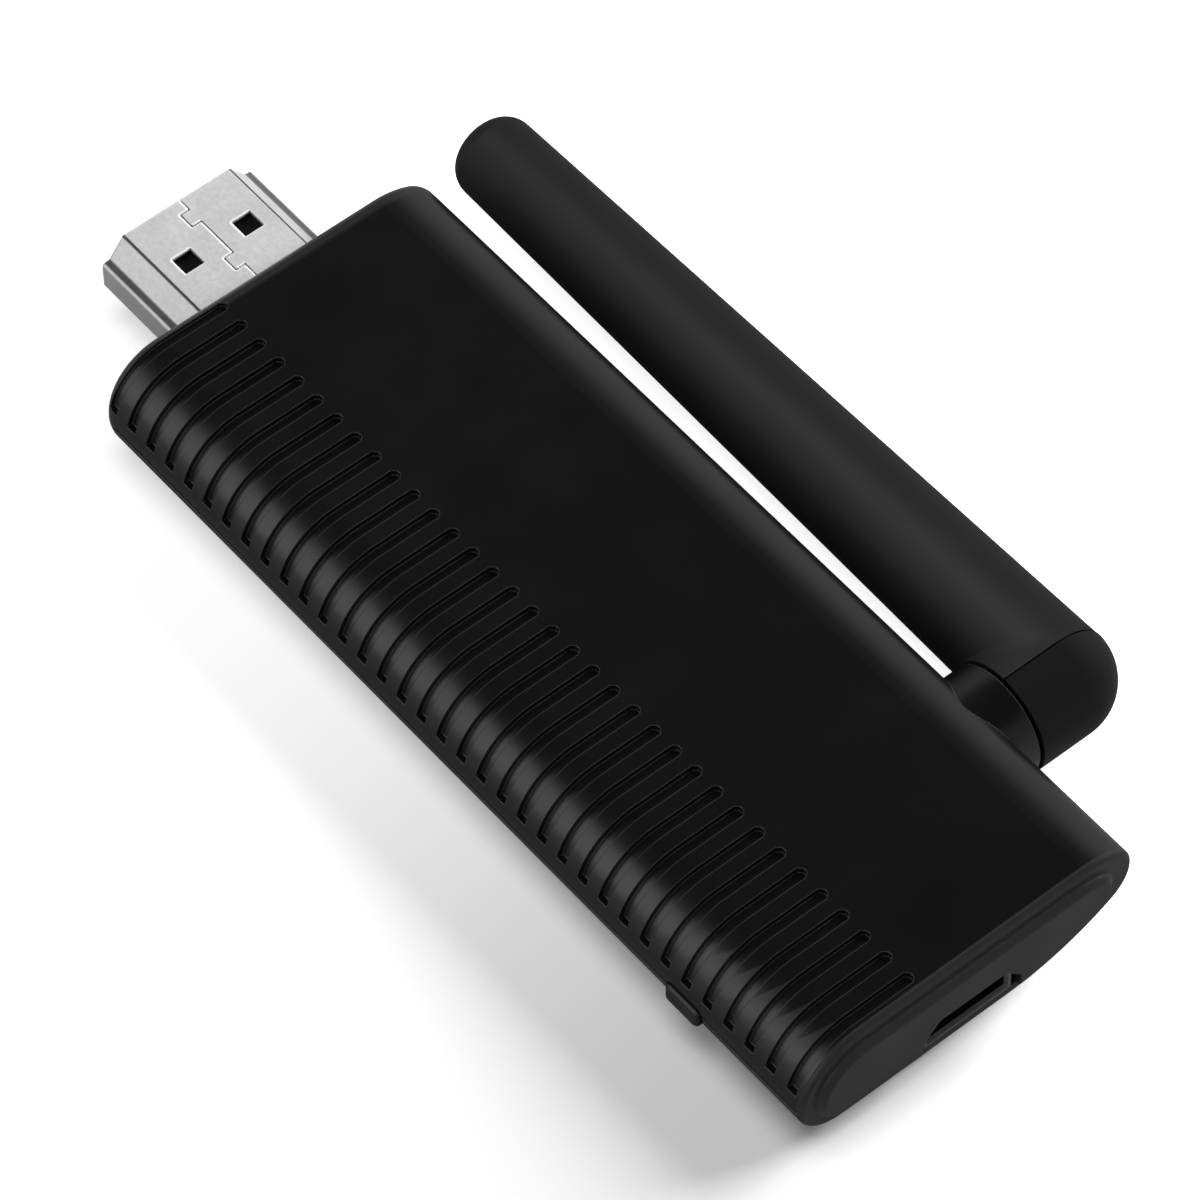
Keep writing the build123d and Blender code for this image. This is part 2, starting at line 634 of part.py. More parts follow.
# Antenna sleeve: tapered tube with its half of the hinge stub
with BuildPart() as antenna_sleeve:
    with BuildSketch(Plane(origin=(0, tube_y, split_z), x_dir=(1, 0, 0), z_dir=(0, -1, 0))):
        with BuildLine():
            Polyline((hinge_x, 0), (hinge_x, tube_base_r), (tip_x + tube_tip, tube_tip_r),
                     (tip_x + tube_tip, 0), close=True)
        make_face()
        fillet(vertices().group_by(Axis.X)[0].sort_by(Axis.Y)[-1], tube_round)
    revolve(axis=Axis((0, tube_y, split_z), (1, 0, 0)))
    extrude(hinge_disc(stub_y, elbow_r), amount=tube_y - stub_y)
    split(bisect_by=Plane.YZ.offset(hinge_x), keep=Keep.BOTTOM)
    hinge_bores()
    with Locations((tip_x + tube_tip + tube_end_wall, tube_y, split_z)):
        with Locations(Rotation(0, 90, 0)):
            Cylinder(tube_bore_r, hinge_x - tip_x - tube_tip - tube_end_wall,
                     align=(Align.CENTER, Align.CENTER, Align.MIN), mode=Mode.SUBTRACT)
antenna_sleeve.part.label = "antenna_sleeve"
export_step(antenna_sleeve.part, "parts/antenna_sleeve.step")

# Elbow cover: the other half of the stub and the ball-shaped corner
with BuildPart() as elbow_cover:
    extrude(hinge_disc(stub_y, elbow_r), amount=tube_y - stub_y)
    with Locations((hinge_x, tube_y, split_z)):
        Sphere(elbow_r)
    split(bisect_by=Plane.YZ.offset(hinge_x), keep=Keep.TOP)
    chamfer(elbow_cover.faces().sort_by(Axis.X)[0].edges(), elbow_seam)
    hinge_bores()
elbow_cover.part.label = "elbow_cover"
export_step(elbow_cover.part, "parts/elbow_cover.step")

# Radiator: brass sleeve over the lead's end and the rod that stands out of it
radiator_x = tip_x + tube_tip + tube_end_wall + rod_gap
with BuildPart() as antenna_radiator:
    with Locations((radiator_x, tube_y, split_z)):
        with Locations(Rotation(0, 90, 0)):
            Cylinder(rod_r, rod_len, align=(Align.CENTER, Align.CENTER, Align.MIN))
    with Locations((radiator_x + rod_len, tube_y, split_z)):
        with Locations(Rotation(0, 90, 0)):
            Cylinder(tube_bore_r - sleeve_gap, sleeve_len, align=(Align.CENTER, Align.CENTER, Align.MIN))
    with Locations((radiator_x + rod_len + lead_depth, tube_y, split_z)):
        with Locations(Rotation(0, 90, 0)):
            Cylinder(lead_r + press_fit, sleeve_len, align=(Align.CENTER, Align.CENTER, Align.MIN),
                     mode=Mode.SUBTRACT)
antenna_radiator.part.label = "antenna_radiator"
export_step(antenna_radiator.part, "parts/antenna_radiator.step")

# Lead: from the board's connector to the hub, then through the hub into the radiator
lead_y = axis_y + notch_in - conn_in
hub_end_y = shoulder_y - stud_len
with BuildPart() as antenna_lead:
    with BuildLine():
        FilletPolyline((hinge_x, hub_end_y, split_z), (hinge_x, tube_y, split_z),
                       (radiator_x + rod_len + lead_depth, tube_y, split_z), radius=lead_bend)
    with BuildSketch(Plane(origin=(hinge_x, hub_end_y, split_z), x_dir=(1, 0, 0), z_dir=(0, 1, 0))):
        Circle(lead_r)
    sweep()
antenna_lead.part.label = "antenna_lead"
export_step(antenna_lead.part, "parts/antenna_lead.step")

with BuildPart() as board_lead:
    extrude(hinge_disc(lead_y, lead_r), amount=hub_end_y - lead_y)
board_lead.part.label = "board_lead"
export_step(board_lead.part, "parts/board_lead.step")

with BuildPart() as lead_connector:
    with Locations((hinge_x, lead_y, board_z)):
        Box(*conn, align=(Align.CENTER, Align.MAX, Align.MAX))
    chamfer(lead_connector.edges().filter_by(Axis.Z), conn_edge)
lead_connector.part.label = "lead_connector"
export_step(lead_connector.part, "parts/lead_connector.step")
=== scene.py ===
import math
import bpy
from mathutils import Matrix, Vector


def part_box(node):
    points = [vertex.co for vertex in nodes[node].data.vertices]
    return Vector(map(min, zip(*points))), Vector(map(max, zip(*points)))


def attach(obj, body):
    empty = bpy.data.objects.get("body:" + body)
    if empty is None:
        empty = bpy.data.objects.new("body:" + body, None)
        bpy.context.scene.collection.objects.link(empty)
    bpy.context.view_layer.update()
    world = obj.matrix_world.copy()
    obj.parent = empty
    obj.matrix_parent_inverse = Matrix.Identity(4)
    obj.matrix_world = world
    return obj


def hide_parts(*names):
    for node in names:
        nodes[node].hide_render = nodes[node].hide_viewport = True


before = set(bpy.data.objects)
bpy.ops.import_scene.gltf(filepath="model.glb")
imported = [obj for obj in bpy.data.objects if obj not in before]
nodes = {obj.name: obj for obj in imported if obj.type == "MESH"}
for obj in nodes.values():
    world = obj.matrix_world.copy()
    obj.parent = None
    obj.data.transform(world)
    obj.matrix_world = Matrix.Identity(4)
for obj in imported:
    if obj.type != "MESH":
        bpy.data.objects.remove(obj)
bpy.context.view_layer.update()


# Main board: a 0.8 mm glass-epoxy laminate with copper on both faces under green solder
# mask. It is routed to shape round the hinge and carries everything that is soldered.
def effect(name, inputs, outputs):
    """Empty node group with named sockets, for one effect that several finishes share."""
    group = bpy.data.node_groups.new(name, "ShaderNodeTree")
    for label, value in inputs.items():
        kind = "NodeSocketColor" if isinstance(value, tuple) else "NodeSocketFloat"
        socket = group.interface.new_socket(label, in_out="INPUT", socket_type=kind)
        socket.default_value = value
    for label, kind in outputs.items():
        group.interface.new_socket(label, in_out="OUTPUT", socket_type="NodeSocket" + kind)
    return group, group.nodes.new("NodeGroupInput"), group.nodes.new("NodeGroupOutput")


def node(tree, kind, **values):
    """Shader node with its settings made and its named or numbered inputs filled or linked."""
    made = tree.nodes.new("ShaderNode" + kind)
    for label, value in values.items():
        if hasattr(made, label):
            setattr(made, label, value)
            continue
        place = int(label[3:]) if label.startswith("in_") else label.replace("_", " ")
        if isinstance(value, bpy.types.NodeSocket):
            tree.links.new(value, made.inputs[place])
        else:
            made.inputs[place].default_value = value
    return made


def ramp(tree, value, start, end, first=0.0, last=1.0, curve="LINEAR"):
    """Value that runs from first to last while another runs from start to end."""
    return node(tree, "MapRange", interpolation_type=curve, Value=value, From_Min=start,
                From_Max=end, To_Min=first, To_Max=last).outputs[0]


def maths(tree, operation, *terms):
    """Result of one operation on numbers or on other nodes' values."""
    numbered = {f"in_{place}": term for place, term in enumerate(terms)}
    return node(tree, "Math", operation=operation, **numbered).outputs[0]


def blend(tree, share, first, second, kind="MIX"):
    """Colour made of two others, by the second one's share."""
    return node(tree, "Mix", data_type="RGBA", blend_type=kind, in_0=share, in_6=first,
                in_7=second).outputs[2]


def hand_out(tree, gives, colour, roughness, normal):
    """Ties an effect's results to its named outputs."""
    tree.links.new(colour, gives.inputs["Colour"])
    tree.links.new(roughness, gives.inputs["Roughness"])
    tree.links.new(normal, gives.inputs["Normal"])


def finish(name, surface, look, metal=0.0, ior=1.5):
    """Material whose colour, roughness and normal all come from one surface effect."""
    material = bpy.data.materials.new(name)
    material.use_nodes = True
    shader = material.node_tree.nodes["Principled BSDF"]
    shader.inputs["Metallic"].default_value = metal
    shader.inputs["IOR"].default_value = ior
    face = material.node_tree.nodes.new("ShaderNodeGroup")
    face.node_tree = surface
    for label, value in look.items():
        face.inputs[label].default_value = value
    material.node_tree.links.new(face.outputs["Colour"], shader.inputs["Base Color"])
    material.node_tree.links.new(face.outputs["Roughness"], shader.inputs["Roughness"])
    material.node_tree.links.new(face.outputs["Normal"], shader.inputs["Normal"])
    return material


def dress(material, *names):
    """Gives the named pieces of the stick their finish."""
    for name in names:
        nodes[name].data.materials.clear()
        nodes[name].data.materials.append(material)


bare_edge, copper_edge, copper_height = 0.10, 0.13, 0.00003
weave_scale, weave_height = 2500.0, 0.15
mask_smooth, mask_dull = 0.22, 0.38
tracks, given, gives = effect(
    "printed_tracks",
    {"Mask": (0.02, 0.12, 0.05, 1), "Over copper": (0.04, 0.22, 0.09, 1), "Pitch": 700.0},
    {"Colour": "Color", "Roughness": "Float", "Normal": "Vector"})
place = node(tracks, "TexCoord").outputs["Object"]
cells = node(tracks, "TexVoronoi", feature="DISTANCE_TO_EDGE", Vector=place,
             Scale=given.outputs["Pitch"], Randomness=0.4).outputs["Distance"]
copper = ramp(tracks, cells, bare_edge, copper_edge)
weave = node(tracks, "TexNoise", Vector=place, Scale=weave_scale, Detail=2.0).outputs["Fac"]
tone = blend(tracks, copper, given.outputs["Mask"], given.outputs["Over copper"])
shine = ramp(tracks, weave, 0.0, 1.0, mask_smooth, mask_dull)
relief = maths(tracks, "MULTIPLY_ADD", weave, weave_height, copper)
raised = node(tracks, "Bump", Strength=0.5, Distance=copper_height, Height=relief).outputs[0]
hand_out(tracks, gives, tone, shine, raised)
dress(finish("green_laminate", tracks, {}), "main_board")
dress(finish("module_laminate", tracks, {"Mask": (0.02, 0.10, 0.07, 1), "Pitch": 1100.0}),
      "radio_module")


# Chips: processor, two memory chips and the flash under the board, each moulded in black
# glass-filled epoxy. The moulds leave a fine matt grain and slightly polished edges.
# Edge mask: picks out rounded edges, which the finishes paint paler, partly as wear and partly
# as painted highlight.
flat_facing, edge_facing = 0.998, 0.92
edges, given, gives = effect("rounded_edges_pale_and_highlit", {"Width": 0.0001},
                             {"Edge": "Float", "Normal": "Vector"})
rounded = node(edges, "Bevel", samples=6, Radius=given.outputs["Width"]).outputs[0]
facing = node(edges, "VectorMath", operation="DOT_PRODUCT", in_0=rounded,
              in_1=node(edges, "NewGeometry").outputs["Normal"]).outputs["Value"]
edges.links.new(ramp(edges, facing, flat_facing, edge_facing), gives.inputs["Edge"])
edges.links.new(rounded, gives.inputs["Normal"])


def pale_highlit_edges(tree, width):
    """Rounded edges of a given width, placed inside another effect, for wear and painted
    highlight.
    """
    worn_and_highlit_edges = tree.nodes.new("ShaderNodeGroup")
    worn_and_highlit_edges.node_tree = edges
    tree.links.new(width, worn_and_highlit_edges.inputs["Width"])
    return worn_and_highlit_edges


noise_low, noise_high = 0.3, 0.7
patch_low, patch_high = 0.35, 0.65
cloud_scale, pit_height = 140.0, 0.00002
pit_dark, pit_pale = 0.8, 1.2
cloud_dark, cloud_pale = 0.92, 1.08
grain, given, gives = effect(
    "moulded_grain",
    {"Tone": (0.02, 0.02, 0.02, 1), "Pale edge and highlight": (0.03, 0.03, 0.03, 1), "Grain": 9000.0,
     "Depth": 0.1, "Smooth": 0.4, "Dull": 0.55, "Edge": 0.0001},
    {"Colour": "Color", "Roughness": "Float", "Normal": "Vector"})
place = node(grain, "TexCoord").outputs["Object"]
pits = node(grain, "TexNoise", Vector=place, Scale=given.outputs["Grain"],
            Detail=3.0).outputs["Fac"]
clouds = node(grain, "TexNoise", Vector=place, Scale=cloud_scale, Detail=4.0,
              Roughness=0.6).outputs["Fac"]
worn_and_highlit_edges = pale_highlit_edges(grain, given.outputs["Edge"])
shade = ramp(grain, pits, noise_low, noise_high, pit_dark, pit_pale)
drift = ramp(grain, clouds, noise_low, noise_high, cloud_dark, cloud_pale)
mottle = maths(grain, "MULTIPLY", shade, drift)
# Edges take the pale edge tone, partly as wear and partly as painted highlight.
skin = blend(grain, worn_and_highlit_edges.outputs["Edge"], given.outputs["Tone"], given.outputs["Pale edge and highlight"])
toned = blend(grain, 1.0, skin, mottle, "MULTIPLY")
sheen = ramp(grain, clouds, patch_low, patch_high, given.outputs["Smooth"],
             given.outputs["Dull"])
pitted = node(grain, "Bump", Strength=given.outputs["Depth"], Distance=pit_height,
              Height=pits, Normal=worn_and_highlit_edges.outputs["Normal"]).outputs[0]
hand_out(grain, gives, toned, sheen, pitted)
dress(finish("chip_epoxy", grain, {"Tone": (0.022, 0.022, 0.024, 1),
                                   "Pale edge and highlight": (0.05, 0.05, 0.052, 1),
                                   "Depth": 0.35, "Smooth": 0.45, "Dull": 0.6}),
      "processor", "memory_chips", "flash_chip")


# Radio shield, crystals: cans pressed from thin sheet. The shield is tinned steel over the
# radio module, the crystals are welded cans beside the processor.
along_rolling, rolling_height = 0.06, 0.00001
speck_scale, speck_dark, speck_pale = 2600.0, 0.93, 1.07
stain_scale = 220.0
sheet, given, gives = effect(
    "rolled_sheet",
    {"Tone": (0.6, 0.6, 0.61, 1), "Stain": (0.5, 0.5, 0.5, 1), "Edge glint and wear": (0.9, 0.9, 0.9, 1),
     "Rolling": 1200.0, "Depth": 0.1, "Smooth": 0.25, "Dull": 0.4, "Edge": 0.0001},
    {"Colour": "Color", "Roughness": "Float", "Normal": "Vector", "Edge": "Float"})
place = node(sheet, "TexCoord").outputs["Object"]
drawn = node(sheet, "Mapping", Vector=place, Scale=(along_rolling, 1.0, 1.0)).outputs[0]
lines = node(sheet, "TexNoise", Vector=drawn, Scale=given.outputs["Rolling"], Detail=5.0,
             Roughness=0.65).outputs["Fac"]
specks = node(sheet, "TexNoise", Vector=place, Scale=speck_scale, Detail=2.0).outputs["Fac"]
stains = node(sheet, "TexNoise", Vector=place, Scale=stain_scale, Detail=3.0).outputs["Fac"]
worn_and_highlit_edges = pale_highlit_edges(sheet, given.outputs["Edge"])
dimmed = ramp(sheet, stains, patch_low, patch_high)
plate = blend(sheet, dimmed, given.outputs["Tone"], given.outputs["Stain"])
speck = ramp(sheet, specks, noise_low, noise_high, speck_dark, speck_pale)
flecked = blend(sheet, 1.0, plate, speck, "MULTIPLY")
# Edges take the bright edge colour, partly as wear and partly as painted highlight.
plate_with_edge_glint = blend(sheet, worn_and_highlit_edges.outputs["Edge"], flecked, given.outputs["Edge glint and wear"])
satin = ramp(sheet, lines, noise_low, noise_high, given.outputs["Smooth"],
             given.outputs["Dull"])
lined = node(sheet, "Bump", Strength=given.outputs["Depth"], Distance=rolling_height,
             Height=lines, Normal=worn_and_highlit_edges.outputs["Normal"]).outputs[0]
hand_out(sheet, gives, plate_with_edge_glint, satin, lined)
sheet.links.new(worn_and_highlit_edges.outputs["Edge"], gives.inputs["Edge"])
dress(finish("tinned_steel", sheet, {"Tone": (0.56, 0.56, 0.57, 1),
                                     "Stain": (0.46, 0.46, 0.47, 1)}, metal=1.0),
      "radio_shield")
dress(finish("welded_can", sheet, {"Tone": (0.66, 0.66, 0.66, 1), "Smooth": 0.3,
                                   "Dull": 0.45}, metal=1.0), "crystals")


# Coils and capacitors: pressed grey ferrite blocks of the power supply, and rows of fired
# ceramic chips, soldered beside the processor.
dress(finish("pressed_ferrite", grain, {"Tone": (0.085, 0.085, 0.09, 1),
                                        "Pale edge and highlight": (0.12, 0.12, 0.12, 1), "Grain": 5000.0,
                                        "Depth": 0.5, "Smooth": 0.6, "Dull": 0.75}),
      "power_coils")
dress(finish("fired_ceramic", grain, {"Tone": (0.40, 0.29, 0.19, 1),
                                      "Pale edge and highlight": (0.6, 0.6, 0.6, 1), "Grain": 12000.0,
                                      "Depth": 0.2, "Smooth": 0.3, "Dull": 0.45}),
      "capacitors")


# Video plug: a bright plated shell, folded from 0.3 mm sheet with a locked seam on its
# narrow side and four latch windows, over a black glass-filled core with 19 contacts. Its
# edges carry a painted highlight, and a line of painted shade runs along each fold and step.
plate_metal, edge_metal = 0.40, 0.0
bend_off, bend_core, bend_edge, bend_shade_tone = 0.00492, 0.00006, 0.00014, 0.10
bend_low, bend_fade = 0.0070, 0.0001
ledge_off, ledge_core, ledge_edge, ledge_shade_tone = 0.0065, 0.0002, 0.00032, 0.22
ledge_z, ledge_core_z, ledge_edge_z = 0.00588, 0.00008, 0.00016
plating = finish("plug_plating", sheet, {"Tone": (0.78, 0.78, 0.785, 1),
                                         "Stain": (0.70, 0.70, 0.71, 1),
                                         "Edge glint and wear": (1.0, 1.0, 1.0, 1), "Depth": 0.08,
                                         "Smooth": 0.26, "Dull": 0.38, "Edge": 0.0003},
                 metal=plate_metal)
tree = plating.node_tree
shader = tree.nodes["Principled BSDF"]
face = shader.inputs["Base Color"].links[0].from_node
plug_low, plug_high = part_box("plug_shell")
plug_middle = (plug_low[1] + plug_high[1]) / 2


def away_from(line, spot):
    """How far a spot on the plating lies from a line, along one axis."""
    return maths(plating.node_tree, "ABSOLUTE", maths(plating.node_tree, "SUBTRACT", spot, line))


spot = node(tree, "SeparateXYZ", Vector=node(tree, "TexCoord").outputs["Object"])
off = away_from(plug_middle, spot.outputs["Y"])
# Painted shade: a dark line along each fold on top and along the flat step under the flanks.
bend_shade = ramp(tree, away_from(bend_off, off), bend_core, bend_edge, bend_shade_tone)
under = ramp(tree, spot.outputs["Z"], bend_low, bend_low + bend_fade, 1.0, 0.0)
bend_shade = maths(tree, "MAXIMUM", bend_shade, under)
ledge_shade = ramp(tree, away_from(ledge_off, off), ledge_core, ledge_edge, ledge_shade_tone)
beyond = ramp(tree, away_from(ledge_z, spot.outputs["Z"]), ledge_core_z, ledge_edge_z)
ledge_shade = maths(tree, "MAXIMUM", ledge_shade, beyond)
painted_fold_shade = maths(tree, "MULTIPLY", bend_shade, ledge_shade)
folded = blend(tree, 1.0, face.outputs["Colour"], painted_fold_shade, "MULTIPLY")
tree.links.new(folded, shader.inputs["Base Color"])
# Painted highlight: the edges lose their metal, so their white edge colour shows matt.
edge_glint_metallic = ramp(tree, face.outputs["Edge"], 0.0, 1.0, plate_metal, edge_metal)
tree.links.new(edge_glint_metallic, shader.inputs["Metallic"])
dress(plating, "plug_shell")
dress(finish("plug_core_black", grain, {"Tone": (0.006, 0.006, 0.006, 1),
                                        "Pale edge and highlight": (0.02, 0.02, 0.02, 1),
                                        "Depth": 0.3, "Smooth": 0.4, "Dull": 0.55}),
      "plug_core")
gold = finish("flashed_gold", sheet, {"Tone": (0.83, 0.62, 0.27, 1),
                                      "Stain": (0.74, 0.53, 0.22, 1),
                                      "Edge glint and wear": (0.95, 0.80, 0.45, 1),
                                      "Smooth": 0.18, "Dull": 0.3}, metal=1.0)
dress(gold, "plug_contacts")


# Power port: a small receptacle under the board's end, folded from stainless sheet with
# flared lips, with a black tongue that carries five gold contacts. Its shell is toned far
# darker than stainless as painted shade inside the opening, and its lips' edges carry a
# painted highlight.
dress(finish("port_stainless", sheet, {"Tone": (0.14, 0.14, 0.145, 1),
                                       "Stain": (0.10, 0.10, 0.10, 1),
                                       "Edge glint and wear": (0.5, 0.5, 0.5, 1), "Smooth": 0.3,
                                       "Dull": 0.45, "Edge": 0.00006}, metal=1.0),
      "port_shell")
dress(finish("tongue_black", grain, {"Tone": (0.012, 0.012, 0.012, 1), "Smooth": 0.35,
                                     "Dull": 0.5}), "port_tongue")
dress(gold, "port_contacts")


# Side switch and mode button: the switch is soldered under the board and its white plunger
# looks out at the ribbed side, where a black moulded key is held behind the shells.
dress(finish("switch_black", grain, {"Tone": (0.02, 0.02, 0.02, 1), "Smooth": 0.4,
                                     "Dull": 0.55}), "switch_body")
dress(finish("plunger_white", grain, {"Tone": (0.62, 0.61, 0.58, 1),
                                      "Pale edge and highlight": (0.7, 0.69, 0.66, 1), "Depth": 0.05,
                                      "Smooth": 0.35, "Dull": 0.5}), "switch_plunger")
dress(finish("key_black", grain, {"Tone": (0.004, 0.004, 0.0042, 1),
                                  "Pale edge and highlight": (0.010, 0.010, 0.010, 1), "Depth": 0.08,
                                  "Smooth": 0.3, "Dull": 0.38}), "mode_button")


# Board connector and lead: a gilt coaxial socket under the board and the short thin coax
# that brings the radio's signal to the hinge.
dress(finish("socket_gilt", sheet, {"Tone": (0.80, 0.60, 0.28, 1),
                                    "Stain": (0.70, 0.50, 0.22, 1), "Smooth": 0.22,
                                    "Dull": 0.35}, metal=1.0), "lead_connector")
jacket = finish("lead_jacket", grain, {"Tone": (0.035, 0.035, 0.035, 1),
                                       "Pale edge and highlight": (0.05, 0.05, 0.05, 1), "Grain": 4000.0,
                                       "Depth": 0.1, "Smooth": 0.25, "Dull": 0.4})
dress(jacket, "board_lead")


# Housing: two black ABS shells that close round the board, joined low on the ribbed side,
# with the board screwed to the lower one. The moulds are finely spark-eroded, so the skin
# is a soft satin; its edges, the cooling grooves' above all, carry a painted highlight.
dress(finish("shell_black", grain, {"Tone": (0.0024, 0.0024, 0.0025, 1),
                                    "Pale edge and highlight": (0.030, 0.030, 0.030, 1), "Grain": 7000.0,
                                    "Depth": 0.22, "Smooth": 0.29, "Dull": 0.34,
                                    "Edge": 0.00014}, ior=1.62),
      "bottom_shell", "top_shell")
dress(finish("zinc_steel", sheet, {"Tone": (0.58, 0.58, 0.6, 1),
                                   "Stain": (0.5, 0.5, 0.52, 1)}, metal=1.0), "board_screws")


# Heat path: a grey silicone pad on the processor and an aluminium spreader glued under the
# upper shell, which takes the heat to the grooved side.
dress(finish("silicone_pad", grain, {"Tone": (0.30, 0.33, 0.37, 1),
                                     "Pale edge and highlight": (0.34, 0.37, 0.4, 1), "Grain": 3000.0,
                                     "Depth": 0.3, "Smooth": 0.6, "Dull": 0.75}),
      "thermal_pad")
dress(finish("mill_aluminium", sheet, {"Tone": (0.74, 0.75, 0.76, 1),
                                       "Stain": (0.66, 0.67, 0.68, 1), "Rolling": 900.0,
                                       "Depth": 0.2, "Smooth": 0.3, "Dull": 0.5}, metal=1.0),
      "heat_spreader")


# End cap: one black moulding that plugs into both shells, with a rounded rim, a raised
# face and the cut-out for the power port. Handling has left it a little duller.
# Its tone is paler than the shells' to paint in the reflection its end face catches, and its
# edges carry a painted highlight.
dress(finish("cap_black", grain, {"Tone": (0.013, 0.013, 0.0134, 1),
                                  "Pale edge and highlight": (0.024, 0.024, 0.024, 1), "Grain": 8000.0,
                                  "Depth": 0.12, "Smooth": 0.40, "Dull": 0.48,
                                  "Edge": 0.0003}), "end_cap")


# Hinge: an acetal hub turns in the knuckle's bearing, held inside by a washer and a clip
# of plated steel, and a nitrile ring gives it the drag that keeps the antenna in place.
dress(finish("hub_acetal", grain, {"Tone": (0.70, 0.69, 0.65, 1),
                                   "Pale edge and highlight": (0.78, 0.77, 0.73, 1), "Depth": 0.05,
                                   "Smooth": 0.3, "Dull": 0.42}), "pivot_hub")
dress(finish("nitrile", grain, {"Tone": (0.02, 0.02, 0.02, 1), "Grain": 5000.0,
                                "Depth": 0.3, "Smooth": 0.55, "Dull": 0.7}), "friction_ring")
dress(finish("plated_steel", sheet, {"Tone": (0.6, 0.6, 0.61, 1), "Smooth": 0.22,
                                     "Dull": 0.36}, metal=1.0), "hub_washer", "hub_clip")


# Antenna's inside: the coax runs through the hub and the elbow into a drawn brass sleeve,
# and the brass rod beyond it radiates.
dress(jacket, "antenna_lead")
dress(finish("drawn_brass", sheet, {"Tone": (0.72, 0.52, 0.24, 1),
                                    "Stain": (0.6, 0.42, 0.18, 1),
                                    "Edge glint and wear": (0.85, 0.7, 0.4, 1), "Smooth": 0.25,
                                    "Dull": 0.4}, metal=1.0), "antenna_radiator")


# Antenna's outside: a tapered sleeve and the elbow cover, both moulded in a soft black
# rubbery plastic, meet in a line over the elbow. The sleeve is a true cone that flows into
# its half of the hinge stub, so its corners are shaded as one skin, with no seam on top.
hinge_x, tip_x = 0.02743, -0.0361
tube_y, tube_z = 0.01635, 0.0046
tube_base_r, tube_tip_r, tip_rounding = 0.00455, 0.00339, 0.002
skin_slack, skin_agrees = 0.00006, 0.97
level_face, stub_agrees = 0.5, 0.2
cone_end = tip_x + 0.8 * tip_rounding
taper = (tube_base_r - tube_tip_r) / (hinge_x - tip_x)
cast = nodes["antenna_sleeve"].data.copy()
shading = [corner.vector.copy() for corner in cast.corner_normals]
for face in cast.polygons:
    for corner in face.loop_indices:
        spot = cast.vertices[cast.loops[corner].vertex_index].co
        around = Vector((0.0, spot.y - tube_y, spot.z - tube_z))
        skin_r = tube_tip_r + taper * (spot.x - tip_x)
        if abs(around.length - skin_r) < skin_slack and spot.x > cone_end:
            cone = Vector((taper * -around.length, around.y, around.z)).normalized()
            stub = (abs(face.normal.y) < level_face and face.normal.x < level_face
                    and cone.dot(face.normal) > stub_agrees)
            if cone.dot(shading[corner]) > skin_agrees or stub:
                shading[corner] = cone
cast.normals_split_custom_set(shading)
sleeve = bpy.data.objects.new("moulded_sleeve", cast)
bpy.context.scene.collection.objects.link(sleeve)
cast.materials.clear()
cast.materials.append(finish("sleeve_black", grain, {"Tone": (0.004, 0.004, 0.0041, 1),
                                                     "Pale edge and highlight": (0.006, 0.006, 0.006, 1),
                                                     "Grain": 10000.0, "Depth": 0.10,
                                                     "Smooth": 0.56, "Dull": 0.62,
                                                     "Edge": 0.00012}, ior=1.3))
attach(sleeve, "antenna")
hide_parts("antenna_sleeve")
dress(finish("cover_black", grain, {"Tone": (0.006, 0.006, 0.0062, 1),
                                    "Pale edge and highlight": (0.010, 0.010, 0.010, 1),
                                    "Grain": 10000.0, "Depth": 0.10, "Smooth": 0.50,
                                    "Dull": 0.58, "Edge": 0.00012}, ior=1.3),
      "elbow_cover")


# Studio floor: paper under the stick, grey to the light and white to the camera. Where the
# camera sees it, a painted glow whitens it behind the stick, beside its nose and all round
# further out, hiding the shadows there; by the ribbed side towards the port end the glow
# fades, so the soft shadow lies there.
paper_bounced, paper_seen = (0.25, 0.25, 0.25, 1), (0.8, 0.8, 0.8, 1)
behind_start, behind_end, behind_lift = -0.012, 0.010, 0.85
nose_x, port_x, nose_lift, port_lift = -0.030, 0.045, 0.55, 0.06
around_start, around_end = 0.075, 0.24
paper_width, paper_low = 6.0, -0.00002
paper = bpy.data.materials.new("white_paper")
paper.use_nodes = True
tree = paper.node_tree
tree.nodes.clear()
seen = node(tree, "LightPath").outputs["Is Camera Ray"]
matt = node(tree, "BsdfDiffuse", Color=blend(tree, seen, paper_bounced, paper_seen))
place = node(tree, "TexCoord").outputs["Object"]
spot = node(tree, "SeparateXYZ", Vector=place)
behind = ramp(tree, spot.outputs["Y"], behind_start, behind_end, 0.0, behind_lift, "SMOOTHSTEP")
ahead = ramp(tree, spot.outputs["X"], nose_x, port_x, nose_lift, port_lift, "SMOOTHSTEP")
reach = node(tree, "VectorMath", operation="LENGTH", in_0=place).outputs["Value"]
around = ramp(tree, reach, around_start, around_end, 0.0, 1.0, "SMOOTHSTEP")
most = maths(tree, "MAXIMUM", maths(tree, "MAXIMUM", behind, ahead), around)
painted_glow = maths(tree, "MULTIPLY", seen, most)
glow = node(tree, "Emission", Color=(1, 1, 1, 1), Strength=painted_glow)
lifted = node(tree, "AddShader", in_0=matt.outputs[0], in_1=glow.outputs[0])
tree.links.new(lifted.outputs[0], node(tree, "OutputMaterial").inputs["Surface"])
bpy.ops.mesh.primitive_plane_add(size=paper_width, location=(0, 0, paper_low))
floor = bpy.context.object
floor.name = "paper_floor"
floor.data.materials.append(paper)


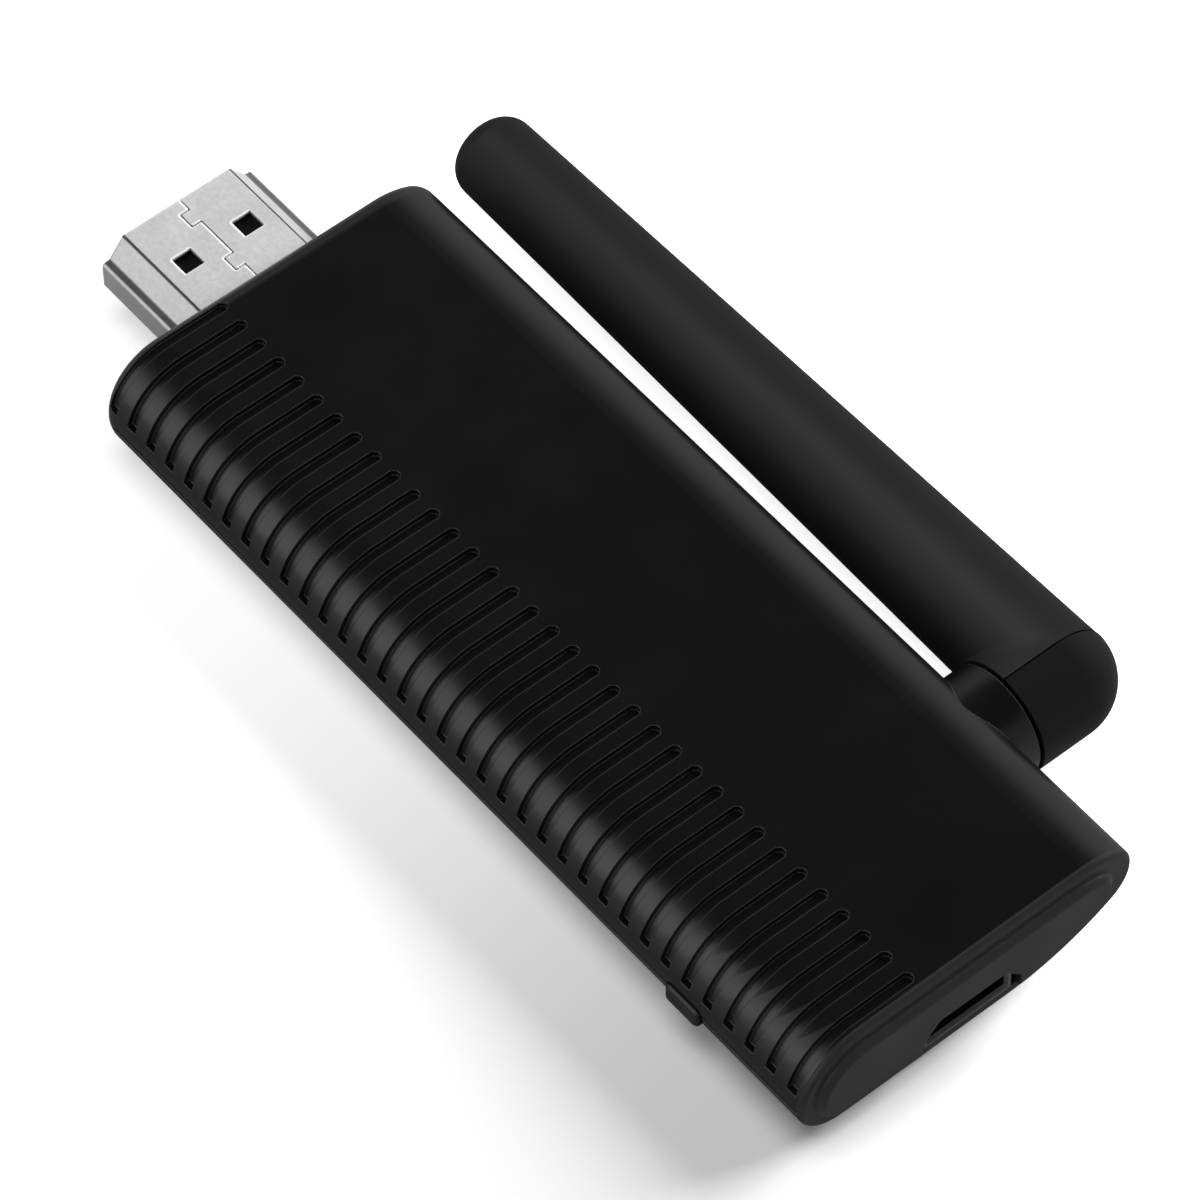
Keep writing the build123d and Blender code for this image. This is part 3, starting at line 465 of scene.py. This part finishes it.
# Studio walls: white up to about forty degrees and dark overhead, brightest on the ribbed
# side and dimmer at both ends, so that a flat top stays black and each rounded side catches
# a wall. That is what the gloss sees; matt skins get less of it, and the camera plain white.
wall_lean, wall_top, dark_from, dark_tone = 0.06, 0.50, 0.76, 0.04
side_y, ribbed_wall, antenna_wall = 0.6, 1.25, 0.55
nose_far, nose_near, nose_wall = -0.95, -0.60, 0.25
port_near, port_far, port_wall = 0.10, 0.70, 0.35
matt_share = 0.4
world = bpy.data.worlds.new("studio_walls")
bpy.context.scene.world = world
world.use_nodes = True
sky = world.node_tree
sky.nodes.clear()
way = node(sky, "SeparateXYZ", Vector=node(sky, "TexCoord").outputs["Generated"])
height = maths(sky, "MULTIPLY_ADD", way.outputs["Y"], wall_lean, way.outputs["Z"])
walls = ramp(sky, height, wall_top, dark_from, 1.0, dark_tone, "SMOOTHSTEP")
side = ramp(sky, way.outputs["Y"], -side_y, side_y, ribbed_wall, antenna_wall)
nose_end = ramp(sky, way.outputs["X"], nose_far, nose_near, nose_wall, 1.0, "SMOOTHSTEP")
port_end = ramp(sky, way.outputs["X"], port_near, port_far, 1.0, port_wall, "SMOOTHSTEP")
ends = maths(sky, "MULTIPLY", nose_end, port_end)
walls = maths(sky, "MULTIPLY", maths(sky, "MULTIPLY", walls, side), ends)
path = node(sky, "LightPath")
share = node(sky, "Mix", data_type="FLOAT", in_0=path.outputs["Is Diffuse Ray"], in_2=1.0,
             in_3=matt_share).outputs[0]
lit = maths(sky, "MULTIPLY", walls, share)
level = node(sky, "Mix", data_type="FLOAT", in_0=path.outputs["Is Camera Ray"], in_2=lit,
             in_3=1.0).outputs[0]
backdrop = node(sky, "Background", Color=(1, 1, 1, 1), Strength=level)
sky.links.new(backdrop.outputs[0], node(sky, "OutputWorld").inputs["Surface"])


# Soft boxes: one behind the antenna side and a broad one overhead give light and shadow and
# stay out of the gloss. A narrow one overhead is kept to the antenna's sleeve alone, where it
# draws one soft line along the rubber.
def soft_box(name, place, size, watts, shown):
    """Square soft box at a place, turned to the middle of the stick; the gloss may show it."""
    lamp = bpy.data.lights.new(name, "AREA")
    lamp.size = size
    lamp.energy = watts
    box = bpy.data.objects.new(name, lamp)
    box.location = place
    x, y, z = place
    box.rotation_euler = (math.atan2(math.hypot(x, y), z), 0, math.atan2(x, -y))
    box.visible_glossy = shown
    bpy.context.scene.collection.objects.link(box)
    return box


soft_box("back_box", place=(0.10, 0.42, 0.28), size=0.26, watts=3.9, shown=False)
soft_box("over_box", place=(-0.05, -0.12, 0.80), size=0.50, watts=3.4, shown=False)
strip_box = soft_box("strip_box", place=(0.06, -0.06, 0.80), size=0.20, watts=8.0, shown=True)
rubber = bpy.data.collections.new("antenna_rubber")
rubber.objects.link(sleeve)
strip_box.light_linking.receiver_collection = rubber


# Camera: stands over the power-port end on the ribbed side, where the photograph was
# taken, with a long lens that takes in the whole stick and its antenna.
lens = bpy.data.cameras.new("studio_camera")
lens.sensor_width = 36.0
lens.lens = 211.80
lens.clip_start = 0.01
lens.clip_end = 10.0
camera = bpy.data.objects.new("studio_camera", lens)
camera.location = (0.2267, -0.1915, 0.4086)
camera.rotation_euler = (math.radians(35.9562), math.radians(-0.0609), math.radians(50.2069))
bpy.context.scene.collection.objects.link(camera)
bpy.context.scene.camera = camera
bpy.context.scene.view_settings.view_transform = "Standard"
